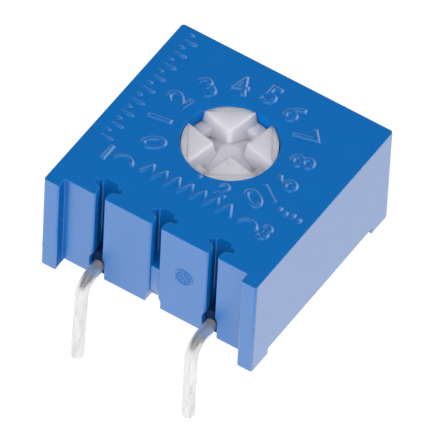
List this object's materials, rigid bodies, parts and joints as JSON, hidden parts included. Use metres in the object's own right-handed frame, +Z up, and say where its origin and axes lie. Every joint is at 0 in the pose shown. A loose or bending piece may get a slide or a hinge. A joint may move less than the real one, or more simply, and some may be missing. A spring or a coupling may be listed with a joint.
{
  "type": "trimmer potentiometer",
  "caption": "Square single-turn trimmer potentiometer for through-hole boards, adjusted from the top with a screwdriver in the rotor's cross slot.",
  "frame": {"origin": "axis of the middle lead where it passes the board's face, which is the plane of the four feet", "axes": "+Z up out of the board along the rotor's axis, +Y from the two front leads to the back of the body, +X to the right as seen from the front"},
  "size_m": [0.0096, 0.0105, 0.0082],
  "materials": {
    "housing": "moulded blue thermoplastic, satin gloss",
    "rotor": "moulded off-white thermoplastic",
    "silicone": "silicone rubber",
    "spring_metal": "rolled spring alloy",
    "alumina": "as fired",
    "cermet": "fired thick film",
    "conductor": "fired silver film",
    "tinned_copper": "tin plated, smooth",
    "solder": "reflowed solder",
    "potting": "cured epoxy"
  },
  "bodies": {
    "body": {"housing": "housing", "seal_ring": "silicone", "substrate": "alumina", "resistive_track": "cermet", "collector": "conductor", "end_pad_1": "conductor", "end_pad_3": "conductor", "lead_1": "tinned_copper", "lead_2": "tinned_copper", "lead_3": "tinned_copper", "solder_1": "solder", "solder_2": "solder", "solder_3": "solder", "base_seal": "potting"},
    "rotor": {"rotor": "rotor", "wiper": "spring_metal"}
  },
  "joints": [
    {"name": "rotor_turn", "type": "hinge", "parent": "body", "child": "rotor", "pos_m": [0, 0.00117, 0.00485], "axis": [0, 0, 1], "range_deg": [-142.5, 167.5]}
  ]
}
